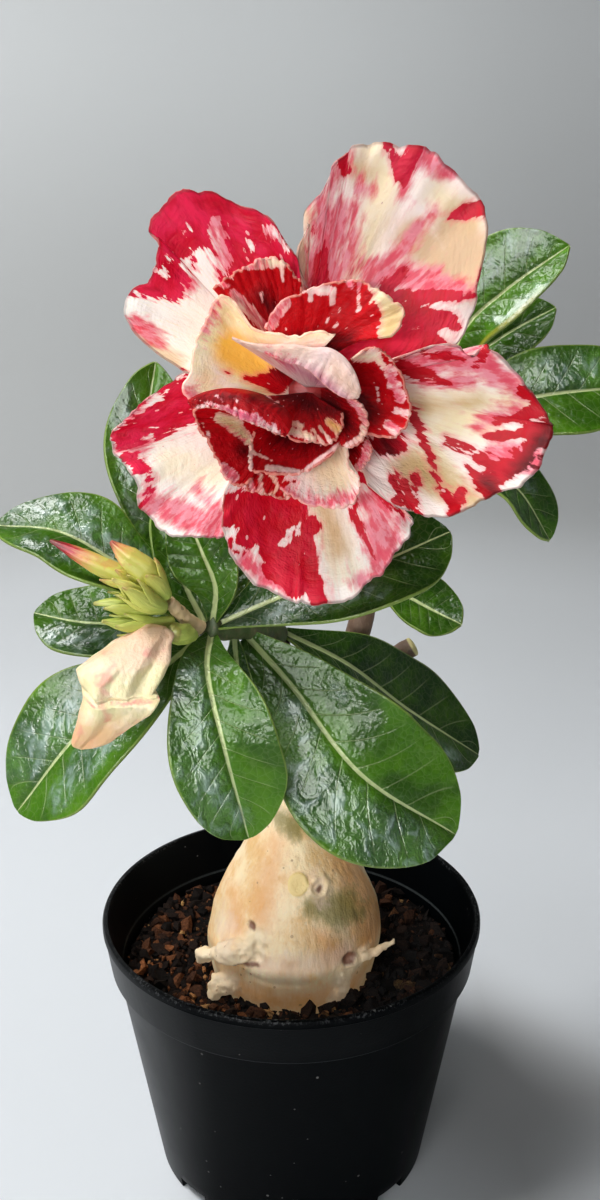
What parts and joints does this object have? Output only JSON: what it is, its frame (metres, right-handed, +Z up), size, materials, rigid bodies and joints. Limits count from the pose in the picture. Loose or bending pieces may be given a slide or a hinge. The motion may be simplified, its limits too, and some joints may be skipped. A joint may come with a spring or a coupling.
{
  "type": "potted desert rose plant",
  "caption": "Potted desert rose: a swollen caudex in a round nursery pot, with glossy leaves, buds and a large mottled red and cream flower.",
  "frame": {"origin": "middle of the pot's flat foot pad, on the surface it stands on", "axes": "+Z up along the pot, -Y to the front, the way the flower faces, +X to the right seen from the front"},
  "size_m": [0.1545, 0.1201, 0.2751],
  "materials": {
    "pot": "moulded black nursery plastic, satin, with fine dust and a worn rim",
    "soil": "loose crumbly potting mix of bark, coir and reddish grit",
    "caudex": "smooth cream and tan bark with upright streaks, green patches and root scars",
    "stem": "dull reddish brown to green bark with leaf scars",
    "leaf": "glossy dark green leaf with pale veins",
    "petal": "soft satin petal, crimson mottled with pink and cream",
    "bud": "satin yellow-green bud tipped with red and orange",
    "wilted": "limp, wrinkled cream petals with a pink and peach blush"
  },
  "bodies": {
    "root": {"pot": "pot", "soil": "soil", "caudex": "caudex", "stem_main": "stem", "branch_left": "stem", "branch_right": "stem", "branch_stub": "stem", "flower_tube": "petal", "wilted_flower": "wilted", "leaf_01": "leaf", "leaf_02": "leaf", "leaf_03": "leaf", "leaf_04": "leaf", "leaf_05": "leaf", "leaf_06": "leaf", "leaf_07": "leaf", "leaf_08": "leaf", "leaf_09": "leaf", "leaf_10": "leaf", "leaf_11": "leaf", "leaf_12": "leaf", "leaf_13": "leaf", "leaf_14": "leaf", "leaf_15": "leaf", "leaf_16": "leaf", "leaf_17": "leaf", "outer_petal_1": "petal", "outer_petal_2": "petal", "outer_petal_3": "petal", "outer_petal_4": "petal", "outer_petal_5": "petal", "inner_petal_top": "petal", "inner_petal_back": "petal", "inner_petal_left": "petal", "inner_petal_folded": "petal", "inner_petal_curled": "petal", "inner_petal_bowl": "petal", "inner_petal_right": "petal", "inner_petal_bottom": "petal", "inner_petal_rolled": "petal", "inner_petal_lower_left": "petal", "inner_petal_ruffle": "petal", "inner_petal_small": "petal", "inner_petal_heart": "petal", "flower_calyx": "bud", "bud_1": "bud", "bud_2": "bud", "bud_3": "bud", "bud_4": "bud", "bud_5": "bud", "bud_stalk": "bud", "wilted_calyx": "bud"}
  },
  "joints": []
}
